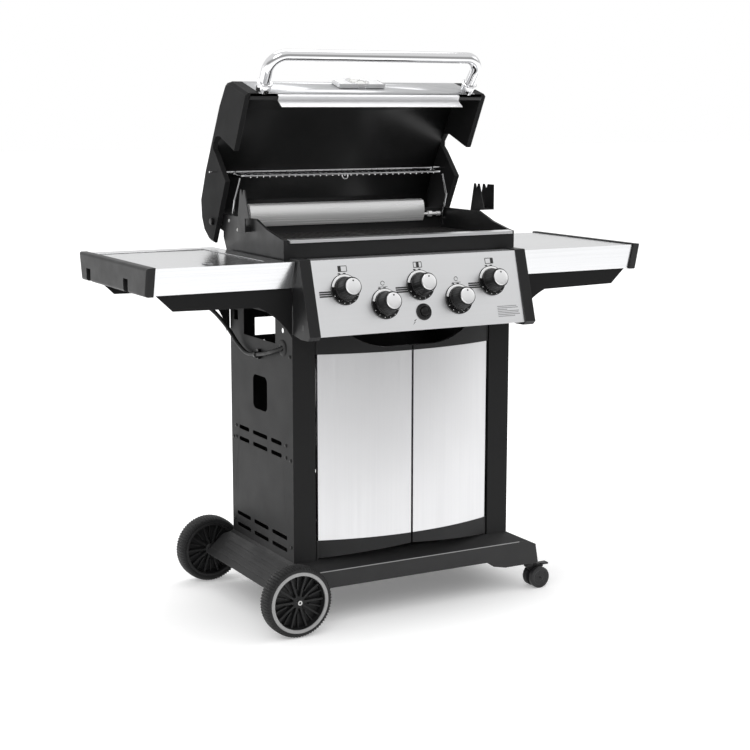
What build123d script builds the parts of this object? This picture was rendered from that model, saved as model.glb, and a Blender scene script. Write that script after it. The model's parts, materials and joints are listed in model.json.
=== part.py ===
from build123d import *
import os
from math import atan2, cos, degrees, hypot, pi, radians, sin

os.makedirs("parts", exist_ok=True)

# ---------------------------------------------------------------- driving dimensions, mm
YC = 7.0               # cabinet centre, behind the middle of the footprint
CAB_W, CAB_D = 655.0, 384.0
SHEET = 2.0            # cabinet sheet metal
DECK_Z = 162.0         # top of the base tray
PANEL_TOP = 832.0      # top of the side panels
REAR_TOP = 828.0
SHELF_Z = 948.0        # side shelf working height
SHELF_FRONT, SHELF_BACK = -237.0, 250.0
BOX_W = 345.0          # half width of the firebox
RIM_Z = 997.0          # firebox front rim
WALL_Z = 1040.0        # firebox rear and side wall top
HINGE_Y, HINGE_Z = 218.0, 1020.0
LID_OPEN = 57.0        # lid angle at rest, fully open
CAP_IN = 350.0         # inner face of the lid end caps
PANEL_W = 304.0        # half width of the control panel
PANEL_Y, PANEL_Z = -251.0, 950.0
PANEL_LEN, PANEL_TILT = 193.0, 16.2
KNOB_X = (-218.0, -109.0, 0.0, 109.0, 218.0)
KNOB_S = (77.0, 119.5, 77.0, 119.5, 77.0)
DOOR_R = 758.6         # bow of the two doors, in plan
DOOR_FRONT = -237.0
DOOR_HALF = 256.0
PIN_X, PIN_Y = 256.5, -187.0
WHEEL_R, WHEEL_W, WHEEL_X = 92.4, 52.0, -365.0
TRACK = 308.0          # half the depth over the two big wheels
CASTER_R, CASTER_X, CASTER_Y = 30.0, 412.0, 221.0
STEM_X = 386.0
RACK_R, RACK_F = (190.0, 1154.0), (141.0, 1144.0)
LEG_P = (169.0, 1010.0)  # leg and lid arm stay parallel, so the rack stays level
FIT = 0.05             # radial clearance of every running fit
FRONT, BACK = -CAB_D / 2, CAB_D / 2
HALF_W = CAB_W / 2


# ---------------------------------------------------------------- planes of the cabinet
def side_plane(x):
    """Local x runs back, local y runs up, extrusions grow to the right."""
    return Plane(origin=(x, YC, 0), x_dir=(0, 1, 0), z_dir=(1, 0, 0))


def front_plane(y):
    """Local x runs right, local y runs up, extrusions grow to the front."""
    return Plane(origin=(0, YC + y, 0), x_dir=(1, 0, 0), z_dir=(0, -1, 0))


def top_plane(z):
    """Local x runs right, local y runs back, extrusions grow upward."""
    return Plane(origin=(0, YC, z))


def lid_plane(x):
    """Side plane of the lid as if closed, its origin on the hinge, turned to the open lid."""
    c, s = cos(radians(LID_OPEN)), sin(radians(LID_OPEN))
    return Plane(origin=(x, YC + HINGE_Y, HINGE_Z), x_dir=(0, c, -s), z_dir=(1, 0, 0))


def panel_plane(lift=0.0):
    """Face of the control panel, local y up the slope from its top front edge."""
    c, s = cos(radians(PANEL_TILT)), sin(radians(PANEL_TILT))
    return Plane(origin=(0, YC + PANEL_Y - lift * c, PANEL_Z + lift * s), x_dir=(1, 0, 0), z_dir=(0, -c, s))


def at(x, y, z):
    return Location((x, YC + y, z))


def save(piece, name):
    piece.part.label = name
    export_step(piece.part, f"parts/{name}.step")


SIDES = (("left", -1), ("right", 1))

# ---------------------------------------------------------------- base tray
SKIRT_Z, FOOT_Z = 94.0, 72.0
TRAY_Y = 235.0
TRAY_FRONT = [(-393, SKIRT_Z), (-328, 151), (-328, DECK_Z), (328, DECK_Z), (400, 127), (409, FOOT_Z),
              (300, FOOT_Z), (262, 80), (240, SKIRT_Z)]
TRAY_SIDE = [(-TRAY_Y, 60), (-TRAY_Y, 140), (-193, DECK_Z), (193, DECK_Z), (TRAY_Y, 140), (TRAY_Y, 60)]


def tray_block(inset, drop):
    """The tray's outer shape, or with an inset the hollow under it."""
    with BuildPart() as block:
        with BuildSketch(front_plane(0)) as front_view:
            with Locations((0, -drop)):
                Polygon(*TRAY_FRONT, align=None)
            offset(amount=-inset, kind=Kind.INTERSECTION)
        extrude(amount=TRAY_Y - inset, both=True)
        with BuildSketch(side_plane(0)):
            with Locations((0, -drop)):
                Polygon(*TRAY_SIDE, align=None)
        extrude(amount=500, both=True, mode=Mode.INTERSECT)
    return block.part


with BuildPart() as base_tray:
    with BuildSketch(front_plane(0)):
        Polygon(*TRAY_FRONT, align=None)
    extrude(amount=TRAY_Y, both=True)
    with BuildSketch(side_plane(0)):
        Polygon(*TRAY_SIDE, align=None)
    extrude(amount=500, both=True, mode=Mode.INTERSECT)
    add(tray_block(4, 9), mode=Mode.SUBTRACT)
    # bosses that hold the axle and the caster sockets, ribs under the deck
    with Locations(at(WHEEL_X + 6, 0, 105)):
        with GridLocations(0, 400, 1, 2):
            Box(34, 40, 30)
    with Locations(at(WHEEL_X + 14, 0, 128)):
        with GridLocations(0, 400, 1, 2):
            Box(30, 40, 30, mode=Mode.ADD)
    with Locations(at(STEM_X, 0, 98)):
        with GridLocations(0, 2 * CASTER_Y, 1, 2):
            Box(26, 24, 44)
    with Locations(at(0, 0, 140)):
        with GridLocations(200, 0, 3, 1):
            Box(4, 2 * TRAY_Y - 30, 32)
    # the tray never grows past its own outline
    with BuildSketch(front_plane(0)):
        Polygon(*TRAY_FRONT, align=None)
    extrude(amount=TRAY_Y, both=True, mode=Mode.INTERSECT)
    with BuildSketch(side_plane(0)):
        Polygon(*TRAY_SIDE, align=None)
    extrude(amount=500, both=True, mode=Mode.INTERSECT)
    # axle blocks under the skirt, their bore, and the caster sockets
    with Locations(at(WHEEL_X, 0, WHEEL_R + 2)):
        with GridLocations(0, 430, 1, 2):
            Box(26, 36, 26)
    with Locations(at(WHEEL_X, 0, WHEEL_R)):
        Cylinder(6.0, 700, rotation=(90, 0, 0), mode=Mode.SUBTRACT)
    with Locations(at(STEM_X, 0, FOOT_Z + 16)):
        with GridLocations(0, 2 * CASTER_Y, 1, 2):
            Cylinder(5 + FIT, 32.2, mode=Mode.SUBTRACT)
    # ring that keeps a gas cylinder in place on the deck
    with Locations(at(0, 0, DECK_Z + 5)):
        Cylinder(112, 10)
        Cylinder(106, 10, mode=Mode.SUBTRACT)
    # pins of the doors
    with Locations(at(0, PIN_Y, DECK_Z + 5)):
        with GridLocations(2 * PIN_X, 0, 2, 1):
            Cylinder(3, 10)
save(base_tray, "base_tray")

# ---------------------------------------------------------------- cabinet
GRIP_Y, GRIP_Z = 4.0, 579.0
VENTS = ((449, ((109, 64), (7, 91), (-94, 64))), (203, ((117, 89), (5, 91), (-109, 91))))
for name, side in SIDES:
    with BuildPart() as panel:
        with BuildSketch(side_plane(side * HALF_W)):
            with Locations((0, (DECK_Z + PANEL_TOP) / 2)):
                Rectangle(CAB_D, PANEL_TOP - DECK_Z)
            with Locations((GRIP_Y, GRIP_Z)):
                RectangleRounded(88, 92, 17, mode=Mode.SUBTRACT)
            for row_z, slots in VENTS:
                for slot_y, slot_w in slots:
                    with Locations((slot_y, row_z - 16), (slot_y, row_z + 16)):
                        SlotOverall(slot_w, 11, mode=Mode.SUBTRACT)
            with Locations((5, 762)):
                Rectangle(197, 76, mode=Mode.SUBTRACT)
            with Locations((155, 771)):
                Rectangle(27, 27, mode=Mode.SUBTRACT)
            with Locations((-137, 763)):
                Circle(7, mode=Mode.SUBTRACT)
            with Locations((-138, 718)):
                Circle(19.5, mode=Mode.SUBTRACT)
        extrude(amount=-side * SHEET)
    save(panel, f"side_panel_{name}")

with BuildPart() as rear_panel:
    with Locations(at(0, BACK - SHEET / 2, (DECK_Z + REAR_TOP) / 2)):
        Box(CAB_W - 2 * SHEET, SHEET, REAR_TOP - DECK_Z)
    with Locations(at(0, BACK - 10, REAR_TOP - 1)):
        Box(CAB_W - 2 * SHEET, 20, SHEET)
    with Locations(at(0, BACK - 1, 300)):
        with GridLocations(90, 26, 5, 3):
            Box(60, 6, 9, mode=Mode.SUBTRACT)
    # slot that the drip pan comes out through, and the wide opening under it
    with Locations(at(0, BACK - 1, 800.5)):
        Box(252, 6, 33, mode=Mode.SUBTRACT)
    with Locations(at(0, BACK - 1, 729.5)):
        Box(510, 6, 49, mode=Mode.SUBTRACT)
    for side in (-1, 1):
        with Locations(at(side * 228, BACK - 1, 687)):
            Cylinder(3.5, 6, rotation=(90, 0, 0), mode=Mode.SUBTRACT)
save(rear_panel, "rear_panel")

POST_IN = 264.0
with BuildPart() as front_frame:
    for side in (-1, 1):
        with BuildSketch(top_plane(DECK_Z)):
            with Locations((side * (POST_IN + HALF_W) / 2, FRONT - SHEET / 2)):
                Rectangle(HALF_W - POST_IN, SHEET)
            with Locations((side * (POST_IN + SHEET / 2), FRONT + 14)):
                Rectangle(SHEET, 30)
            with Locations((side * (HALF_W - SHEET - 8), FRONT + 1)):
                Rectangle(16, SHEET)
        extrude(amount=PANEL_TOP - DECK_Z)
    with Locations(at(0, FRONT + 14, 790)):
        Box(2 * POST_IN + 2, 30, 40)
    with Locations(at(0, PIN_Y, 755)):
        with GridLocations(2 * PIN_X, 0, 2, 1):
            Cylinder(3, 34)
    with Locations(at(0, FRONT + 14, 788)):
        Box(2 * POST_IN - 30, 26, 36, mode=Mode.SUBTRACT)
save(front_frame, "front_frame")

# ---------------------------------------------------------------- firebox
BOX_OUT = [(-150, PANEL_TOP), (-185, 900), (-185, RIM_Z), (-165, 1000), (-86, 1017), (-30, 1036),
           (-18, WALL_Z), (190, WALL_Z), (190, 979), (172, 948), (150, PANEL_TOP)]
BOX_IN = [(-144, PANEL_TOP + 6), (-178, 902), (-178, 1100), (183, 1100), (183, 981), (165, 950),
          (144, PANEL_TOP + 6)]


def firebox_block(side_outline, wall):
    """A tub with the given side outline, narrower below the shelves."""
    wide, narrow = BOX_W - wall, HALF_W - wall
    with BuildPart() as block:
        with BuildSketch(side_plane(0)):
            Polygon(*side_outline, align=None)
        extrude(amount=wide, both=True)
        with BuildSketch(front_plane(0)):
            Polygon((-wide, 1120), (-wide, 938), (-narrow, 870), (-narrow, 820),
                    (narrow, 820), (narrow, 870), (wide, 938), (wide, 1120), align=None)
        extrude(amount=400, both=True, mode=Mode.INTERSECT)
    return block.part


BURNER_TUBES = (-220.0, 0.0, 220.0)
with BuildPart() as firebox:
    add(firebox_block(BOX_OUT, 0))
    add(firebox_block(BOX_IN, 8), mode=Mode.SUBTRACT)
    # drip opening, burner tube holes, ledges of the cooking grids
    with Locations(at(0, 0, 835)):
        Box(160, 120, 20, mode=Mode.SUBTRACT)
    with Locations(at(0, -180, 895)):
        with GridLocations(220, 0, 3, 1):
            Cylinder(9, 30, rotation=(90, 0, 0), mode=Mode.SUBTRACT)
    with Locations(at(0, -166, 973), at(0, 171, 973)):
        Box(2 * BOX_W - 16, 24, 6)
    # hinge ears behind the tub
    for side in (-1, 1):
        with BuildSketch(side_plane(side * (BOX_W - 5))):
            Polygon((170, 990), (212, 1000), (232, 1012), (232, 1030), (222, 1036), (186, WALL_Z),
                    align=None)
            with Locations((HINGE_Y, HINGE_Z)):
                Circle(6, mode=Mode.SUBTRACT)
        extrude(amount=5, both=True)
save(firebox, "firebox")

with BuildPart() as firebox_trim:
    with BuildSketch(side_plane(0)):
        Polygon((-198, 990), (-198, 997.4), (-185, 998.6), (-178, 999.6), (-178, 998.2), (-186, 997.1),
                (-188, 990), align=None)
    extrude(amount=332, both=True)
save(firebox_trim, "firebox_trim")

# ---------------------------------------------------------------- what is inside the firebox
GRID_W, GRID_Y0, GRID_Y1 = 324.0, -160.0, 172.0
with BuildPart() as cooking_grids:
    for side in (-1, 1):
        with Locations(at(side * 164, (GRID_Y0 + GRID_Y1) / 2, 980)):
            Box(GRID_W - 2, GRID_Y1 - GRID_Y0, 8)
            with GridLocations(19, 0, 16, 1):
                Box(11, GRID_Y1 - GRID_Y0 - 20, 12, mode=Mode.SUBTRACT)
        with Locations(at(side * 164, (GRID_Y0 + GRID_Y1) / 2, 980)):
            Box(GRID_W - 12, 10, 8)
save(cooking_grids, "cooking_grids")

with BuildPart() as heat_tents:
    for x in BURNER_TUBES:
        with BuildSketch(front_plane(-150)):
            with BuildLine():
                Polyline((x - 78, 925), (x, 950), (x + 78, 925), (x + 78, 922.5), (x, 947.5),
                         (x - 78, 922.5), close=True)
            make_face()
        extrude(amount=-300)
save(heat_tents, "heat_tents")

with BuildPart() as main_burners:
    for x in BURNER_TUBES:
        with Locations(at(x, -5, 895)):
            Cylinder(14, 300, rotation=(90, 0, 0))
        with Locations(at(x, -170, 895)):
            Cylinder(9, 40, rotation=(90, 0, 0))
save(main_burners, "main_burners")

with BuildPart() as rear_burner:
    with BuildSketch(side_plane(0)):
        with BuildLine():
            ThreePointArc((176, 1062), (168.5, 1034), (177, 1004))
            Polyline((177, 1004), (182.5, 1004), (182.5, 1041), (196, 1041), (196, 1064), (188, 1066), (176, 1062))
        make_face()
    extrude(amount=273, both=True)
save(rear_burner, "rear_burner")

# ---------------------------------------------------------------- rotisserie brackets
for name, side in SIDES:
    with BuildPart() as bracket:
        with BuildSketch(side_plane(side * 358.5)):
            Polygon((-14, 1042), (14, 1114), (20, 1114), (27, 1098), (34, 1114), (41, 1114), (58, 1042),
                    (58, 1004), (12, 1004), (12, 1040), align=None)
        extrude(amount=side * 3)
        with Locations(at(side * 352, 35, 1012)):
            Box(14, 44, 14)
        if side > 0:
            with BuildSketch(side_plane(388)):
                Polygon((-14, 1042), (-14, 1112), (16, 1112), (24, 1098), (34, 1112), (41, 1112), (54, 1060),
                        (54, 1042), align=None)
            extrude(amount=3)
            with Locations(at(374, 20, 1043.5)):
                Box(30, 68, 3)
    save(bracket, f"rotisserie_bracket_{name}")

# ---------------------------------------------------------------- control panel
STEM_R = 4.0
with BuildPart() as control_panel:
    with BuildSketch(panel_plane()):
        with Locations((0, -PANEL_LEN / 2)):
            Rectangle(2 * PANEL_W, PANEL_LEN)
        with Locations(*[(x, -s) for x, s in zip(KNOB_X, KNOB_S)]):
            Circle(14, mode=Mode.SUBTRACT)
        with Locations((0, -147)):
            Circle(13, mode=Mode.SUBTRACT)
    extrude(amount=-SHEET)
    with Locations(at(0, PANEL_Y + 26, PANEL_Z - 1)):
        Box(2 * PANEL_W, 51, SHEET)
    with Locations(at(0, -287, PANEL_Z - PANEL_LEN * cos(radians(PANEL_TILT)) + 2)):
        Box(2 * PANEL_W, 30, SHEET)
save(control_panel, "control_panel")

CHEEK = [(-252, 953), (-200, 953), (-195, 780), (-210, 763), (-262, 755), (-298, 756), (-309, 766)]
for name, side in SIDES:
    with BuildPart() as cheek:
        with BuildSketch(side_plane(side * PANEL_W)):
            Polygon(*CHEEK, align=None)
        extrude(amount=side * 31)
        fillet(cheek.edges().filter_by(Axis.X).group_by(Axis.Z)[0], 8)
        with BuildSketch(side_plane(side * PANEL_W)):
            Polygon((-240, 940), (-206, 940), (-203, 788), (-225, 772), (-286, 772), align=None)
        extrude(amount=side * 25, mode=Mode.SUBTRACT)
    save(cheek, f"panel_cheek_{name}")

with BuildPart() as knob_bezels:
    for x, s in zip(KNOB_X, KNOB_S):
        with BuildSketch(panel_plane()):
            with Locations((x, -s)):
                Circle(39)
                Circle(14, mode=Mode.SUBTRACT)
        extrude(amount=5, taper=20)
    with BuildSketch(panel_plane()):
        with Locations((0, -147)):
            Circle(19)
            Circle(13, mode=Mode.SUBTRACT)
    extrude(amount=4)
save(knob_bezels, "knob_bezels")

with BuildPart() as gas_manifold:
    with BuildSketch(side_plane(0)):
        with Locations((-232, 872)):
            Circle(10)
    extrude(amount=260, both=True)
    for x, s in zip(KNOB_X, KNOB_S):
        with BuildSketch(panel_plane(-45)):
            with Locations((x, -s)):
                Circle(11)
        extrude(amount=34)
        with BuildSketch(panel_plane(-12)):
            with Locations((x, -s)):
                Circle(STEM_R)
        extrude(amount=36)
        with Locations(at(x, -234, 850)):
            Box(18, 22, 64)
save(gas_manifold, "gas_manifold")

for index, (x, s) in enumerate(zip(KNOB_X, KNOB_S), start=1):
    with BuildPart() as knob:
        with BuildSketch(panel_plane(6)):
            with Locations((x, -s)):
                Circle(31)
        extrude(amount=40, taper=12)
        with BuildSketch(panel_plane(46)):
            with Locations((x, -s)):
                Circle(21.5)
        extrude(amount=5)
        with BuildSketch(panel_plane(51)):
            with Locations((x, -s + 14)):
                Circle(2.5)
        extrude(amount=-3, mode=Mode.SUBTRACT)
        with BuildSketch(panel_plane(6)):
            with Locations((x, -s)):
                Circle(STEM_R + FIT)
        extrude(amount=19, mode=Mode.SUBTRACT)
    save(knob, f"knob_{index}")

with BuildPart() as igniter_button:
    with BuildSketch(panel_plane(-14)):
        with Locations((0, -147)):
            Circle(12)
    extrude(amount=24)
    fillet(igniter_button.edges().filter_by(GeomType.CIRCLE).sort_by(Axis.Y)[0], 2)
save(igniter_button, "igniter_button")

# ---------------------------------------------------------------- doors
for name, side in SIDES:
    for part_name, z0, z1 in (("panel", 213.0, 703.0), ("trim", 166.0, 748.0)):
        with BuildPart() as door:
            with BuildSketch(top_plane(z0)):
                with Locations((0, DOOR_FRONT + DOOR_R)):
                    Circle(DOOR_R)
                    Circle(DOOR_R - 12, mode=Mode.SUBTRACT)
                with Locations((side * (DOOR_HALF + 3) / 2, -215)):
                    Rectangle(DOOR_HALF - 3, 80, mode=Mode.INTERSECT)
            extrude(amount=z1 - z0)
            if part_name == "trim":
                # two mouldings, one above and one below the stainless panel
                with Locations(at(side * 130, -215, 458)):
                    Box(300, 90, 490, mode=Mode.SUBTRACT)
                with BuildSketch(front_plane(-180)):
                    with BuildLine():
                        Polyline((0, 762), (0, 715), (side * 46, 715))
                        ThreePointArc((side * 46, 715), (side * 122, 725), (side * 188, 762))
                        Line((side * 188, 762), (0, 762))
                    make_face()
                extrude(amount=80, mode=Mode.SUBTRACT)
                with BuildSketch(front_plane(-180)):
                    Polygon((0, 160), (0, 186), (side * 255, 166), (side * 262, 160), align=None)
                extrude(amount=80, mode=Mode.SUBTRACT)
                # lip behind the scoop: the finger pull
                with BuildSketch(front_plane(-222)):
                    with Locations((side * 64, 709)):
                        Rectangle(120, 12)
                extrude(amount=4.5)
                with BuildSketch(top_plane(166)):
                    with Locations((side * PIN_X, PIN_Y)):
                        Circle(6)
                extrude(amount=582)
                with Locations(at(side * 130, -215, 458)):
                    Box(300, 90, 490, mode=Mode.SUBTRACT)
                with BuildSketch(top_plane(150)):
                    with Locations((side * PIN_X, PIN_Y)):
                        Circle(3 + FIT)
                extrude(amount=620, mode=Mode.SUBTRACT)
        save(door, f"door_{part_name}_{name}")

# ---------------------------------------------------------------- side shelves
for name, side in SIDES:
    with BuildPart() as shelf:
        with BuildSketch(side_plane(side * 352)):
            Polygon((SHELF_FRONT, SHELF_Z), (SHELF_FRONT + 18, 881), (SHELF_FRONT + 21, 881),
                    (SHELF_FRONT + 2.6, SHELF_Z - 2), (SHELF_BACK - 2, SHELF_Z - 2), (SHELF_BACK - 2, 905),
                    (SHELF_BACK, 905), (SHELF_BACK, SHELF_Z), align=None)
        extrude(amount=side * 356)
        with BuildSketch(side_plane(side * 338)):
            Polygon((SHELF_FRONT, SHELF_Z), (SHELF_FRONT + 18, 881), (SHELF_FRONT + 21, 881),
                    (SHELF_FRONT + 2.6, SHELF_Z - 2), (-200, SHELF_Z - 2), (-200, SHELF_Z), align=None)
        extrude(amount=side * 14)
        with Locations(at(side * 353, 30, 932)):
            Box(2, 436, 30)
        if side < 0:
            with Locations(at(-551, 8, SHELF_Z)):
                Box(306, 386, 20, mode=Mode.SUBTRACT)
    save(shelf, f"shelf_{name}")

    with BuildPart() as cap:
        with BuildSketch(side_plane(side * 708)):
            Polygon((-244, 951), (-226, 879), (240, 879), (256, 951), align=None)
        extrude(amount=side * 22)
        fillet(cap.edges().group_by(Axis.X)[0 if side < 0 else -1], 8)
        with BuildSketch(side_plane(side * 716)):
            for hook_y in (-94, 182):
                with Locations((hook_y, 895)):
                    Rectangle(32, 36)
        extrude(amount=side * 20, mode=Mode.SUBTRACT)
    save(cap, f"shelf_cap_{name}")

with BuildPart() as shelf_brackets:
    for side in (-1, 1):
        for y, gusset_z in ((-213, 752), (200, 716)):
            with BuildSketch(front_plane(y)):
                with BuildLine():
                    Polyline((side * 336, 880), (side * 698, 880), (side * 655, 840), (side * 430, 836))
                    ThreePointArc((side * 430, 836), (side * 374, 800), (side * 336, gusset_z))
                    Line((side * 336, gusset_z), (side * 336, 880))
                make_face()
            extrude(amount=-SHEET)
        with Locations(at(side * 337, 5, 852)):
            Box(18.8, 390, 34)
        with Locations(at(side * 341, -201, 852)):
            Box(10, 24, 34)
save(shelf_brackets, "shelf_brackets")

# ---------------------------------------------------------------- side burner
BURNER_X, BURNER_Y = -551.0, 8.0
with BuildPart() as side_burner_bowl:
    with Locations(at(BURNER_X, BURNER_Y, 922)):
        Box(304, 384, 48)
    with Locations(at(BURNER_X, BURNER_Y, 925)):
        Box(300, 380, 50, mode=Mode.SUBTRACT)
    with Locations(at(BURNER_X, BURNER_Y, 899)):
        Cylinder(12, 6, mode=Mode.SUBTRACT)
    with Locations(at(BURNER_X, 191, SHELF_Z - 5)):
        Cylinder(3 + FIT, 310, rotation=(0, 90, 0), mode=Mode.SUBTRACT)
save(side_burner_bowl, "side_burner_bowl")

with BuildPart() as side_burner_head:
    with Locations(at(BURNER_X, BURNER_Y, 892)):
        Cylinder(12, 34)
    with Locations(at(BURNER_X, BURNER_Y + 12, 884)):
        Cylinder(7, 12, rotation=(90, 0, 0))
    with Locations(at(BURNER_X, BURNER_Y, 915)):
        Cylinder(42, 12)
    with Locations(at(BURNER_X, BURNER_Y, 923)):
        Cylinder(36, 4)
save(side_burner_head, "side_burner_head")

with BuildPart() as side_burner_grate:
    with Locations(at(BURNER_X, BURNER_Y, 931)):
        Cylinder(88, 5)
        Cylinder(82, 5, mode=Mode.SUBTRACT)
    with Locations(at(BURNER_X, BURNER_Y, 931)):
        with PolarLocations(100, 4):
            Box(96, 6, 5)
save(side_burner_grate, "side_burner_grate")

with BuildPart() as side_burner_lid:
    with Locations(at(BURNER_X, BURNER_Y - 1.5, SHELF_Z - 3)):
        Box(298, 373, 2)
    with Locations(at(BURNER_X, -176, SHELF_Z)):
        Box(22, 6, 6)
    with Locations(at(BURNER_X, -183, SHELF_Z + 2)):
        Box(22, 20, 2)
    with Locations(at(BURNER_X, 191, SHELF_Z - 5)):
        Cylinder(3, 303, rotation=(0, 90, 0))
save(side_burner_lid, "side_burner_lid")

# hose from the burner, down beside the cabinet, through its clip and into the side panel
HOSE_R = 5.5
hose_points = [(-551, 26, 884), (-551, 70, 884), (-540, 130, 868), (-500, 176, 845), (-440, 186, 822),
               (-384, 180, 785), (-350, 160, 738), (-338, 118, 694), (-338, 60, 676), (-338, 0, 683),
               (-338, -60, 694), (-338, -110, 707), (-322, -145, 722), (-300, -158, 752), (-294, -166, 800),
               (-297, -186, 846), (-292, -222, 871), (-262.5, -232, 872)]
hose_path = [Vector(x, YC + y, z) for x, y, z in hose_points]
hose_radii = []
for before, corner, after in zip(hose_path, hose_path[1:], hose_path[2:]):
    turn = radians((corner - before).get_angle(after - corner))
    shorter_run = min((corner - before).length, (after - corner).length)
    hose_radii.append(0.45 * shorter_run / (sin(turn / 2) / cos(turn / 2)))
print("hose arc radii", [round(r) for r in hose_radii])
with BuildPart() as side_burner_hose:
    with BuildLine() as route:
        FilletPolyline(*hose_path, radius=hose_radii)
    with BuildSketch(Plane(origin=route.line @ 0, z_dir=route.line % 0)):
        Circle(HOSE_R)
    sweep()
hose_length = route.wire().length
hose_ratio = side_burner_hose.part.volume / (pi * HOSE_R ** 2 * hose_length)
print("hose length", round(hose_length), "volume ratio", round(hose_ratio, 3))
save(side_burner_hose, "side_burner_hose")

with BuildPart() as hose_clip:
    with Locations(at(-331, 4, 684)):
        Box(7, 12, 26)
    with Locations(at(-338, 4, 682.2)):
        Cylinder(8, 12, rotation=(90, 0, 0))
        Cylinder(HOSE_R + 1.6, 14, rotation=(90, 0, 0), mode=Mode.SUBTRACT)
save(hose_clip, "hose_clip")

# ---------------------------------------------------------------- axle and big wheels
with BuildPart() as axle:
    with Locations(at(WHEEL_X, 0, WHEEL_R)):
        Cylinder(6, 2 * TRACK - 4, rotation=(90, 0, 0))
save(axle, "axle")

for name, side in (("front", -1), ("rear", 1)):
    with BuildPart() as tyre:
        with Locations(at(WHEEL_X, side * (TRACK - WHEEL_W / 2), WHEEL_R)):
            Cylinder(WHEEL_R, WHEEL_W, rotation=(90, 0, 0))
            Cylinder(WHEEL_R - 16, WHEEL_W, rotation=(90, 0, 0), mode=Mode.SUBTRACT)
        fillet(tyre.edges().filter_by(GeomType.CIRCLE).sort_by(lambda e: e.radius)[-2:], 6)
    save(tyre, f"wheel_{name}_tyre")

    with BuildPart() as hub:
        with Locations(at(WHEEL_X, side * (TRACK - WHEEL_W / 2), WHEEL_R)):
            Cylinder(WHEEL_R - 16, WHEEL_W - 3, rotation=(90, 0, 0))
            Cylinder(70, WHEEL_W, rotation=(90, 0, 0), mode=Mode.SUBTRACT)
            Cylinder(72, 5, rotation=(90, 0, 0))
            Cylinder(22, WHEEL_W - 4, rotation=(90, 0, 0))
        with BuildSketch(front_plane(side * (TRACK - WHEEL_W / 2))):
            with Locations((WHEEL_X, WHEEL_R)):
                with PolarLocations(46, 10):
                    Rectangle(54, 6)
        extrude(amount=WHEEL_W / 2 - 6, both=True)
        with Locations(at(WHEEL_X, side * (TRACK - WHEEL_W / 2), WHEEL_R)):
            Cylinder(6 + FIT, WHEEL_W + 2, rotation=(90, 0, 0), mode=Mode.SUBTRACT)
    save(hub, f"wheel_{name}_hub")

# ---------------------------------------------------------------- casters
for name, side in (("front", -1), ("rear", 1)):
    with BuildPart() as housing:
        with BuildSketch(front_plane(side * CASTER_Y)):
            with Locations((CASTER_X, CASTER_R)):
                Circle(14)
            Polygon((CASTER_X - 12, 40), (STEM_X - 11, 62), (STEM_X - 11, FOOT_Z - 1),
                    (STEM_X + 14, FOOT_Z - 1), (CASTER_X + 16, 56), (CASTER_X + 13, 32), align=None)
        extrude(amount=5.5, both=True)
        with Locations(at(STEM_X, side * CASTER_Y, FOOT_Z - 5)):
            Cylinder(13, 8)
        with Locations(at(STEM_X, side * CASTER_Y, FOOT_Z + 14)):
            Cylinder(5, 32)
        # brake pedal
        with Locations(at(CASTER_X + 24, side * CASTER_Y, 64)):
            Box(22, 18, 5)
        with Locations(at(CASTER_X + 10, side * CASTER_Y, 61)):
            Box(20, 11, 11)
        with Locations(at(CASTER_X, side * CASTER_Y, CASTER_R)):
            Cylinder(4 + FIT, 20, rotation=(90, 0, 0), mode=Mode.SUBTRACT)
    save(housing, f"caster_{name}_housing")

    with BuildPart() as rollers:
        with Locations(at(CASTER_X, side * CASTER_Y, CASTER_R)):
            Cylinder(4, 46, rotation=(90, 0, 0))
            with Locations((0, -15.5, 0), (0, 15.5, 0)):
                Cylinder(CASTER_R, 17, rotation=(90, 0, 0))
    save(rollers, f"caster_{name}_wheels")

# ---------------------------------------------------------------- lid
LID_TOP = [(-410, -4), (-371, 120), (-290, 127), (-90, 117), (0, 103), (40, 72)]
LID_RADII = [32, 70, 120, 24]
LID_SKIN = 326.0       # half width of the stainless skin between the black ends
CAP_OUTLINE = [(-410, -4), (-378, 99), (-360, 121), (-290, 127), (-90, 117), (0, 103), (40, 72), (60, 38),
               (62, -4), (50, -30), (-142, -14), (-166, 78), (-168, 98), (-180, 105), (-206, 101), (-222, 80),
               (-243, -19)]
CAP_T, CAP_EDGE = 14.0, 8.0

for name, side in SIDES:
    with BuildPart() as cap:
        with BuildSketch(lid_plane(side * CAP_IN)):
            Polygon(*CAP_OUTLINE, align=None)
        extrude(amount=side * CAP_T)
        outer_face = cap.faces().sort_by(Axis.X)[0 if side < 0 else -1]
        rim = []
        for edge in outer_face.edges():
            middle_of_edge = lid_plane(0).to_local_coords(edge.center())
            if middle_of_edge.Y > 107 or middle_of_edge.X > -30 or middle_of_edge.X < -365:
                rim.append(edge)
        chamfer(rim, CAP_EDGE)
        # band over the ends of the skin
        with BuildSketch(lid_plane(side * LID_SKIN)):
            with BuildLine():
                skin = FilletPolyline(*LID_TOP, radius=LID_RADII)
                offset(skin, amount=SHEET, side=Side.RIGHT)
            make_face()
        extrude(amount=side * (CAP_IN - LID_SKIN))
        # bolt and rack rod holes
        with BuildSketch(lid_plane(side * CAP_IN)):
            Circle(6 + FIT)
            with Locations((-127.6, 49.5)):
                Circle(3 + FIT)
        extrude(amount=side * 30, mode=Mode.SUBTRACT)
    save(cap, f"lid_cap_{name}")

FACE_TILT = atan2(LID_TOP[1][0] - LID_TOP[0][0], LID_TOP[1][1] - LID_TOP[0][1])


def lid_face(u, v, x=0.0, lift=0.0):
    """Plane on the front of the lid, its normal square to the front face."""
    start = lid_plane(x).from_local_coords(Vector(u, v, 0))
    out = lid_plane(x).from_local_coords(Vector(u - cos(FACE_TILT), v + sin(FACE_TILT), 0)) - start
    return Plane(origin=start + out * lift, x_dir=(1, 0, 0), z_dir=out)


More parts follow.
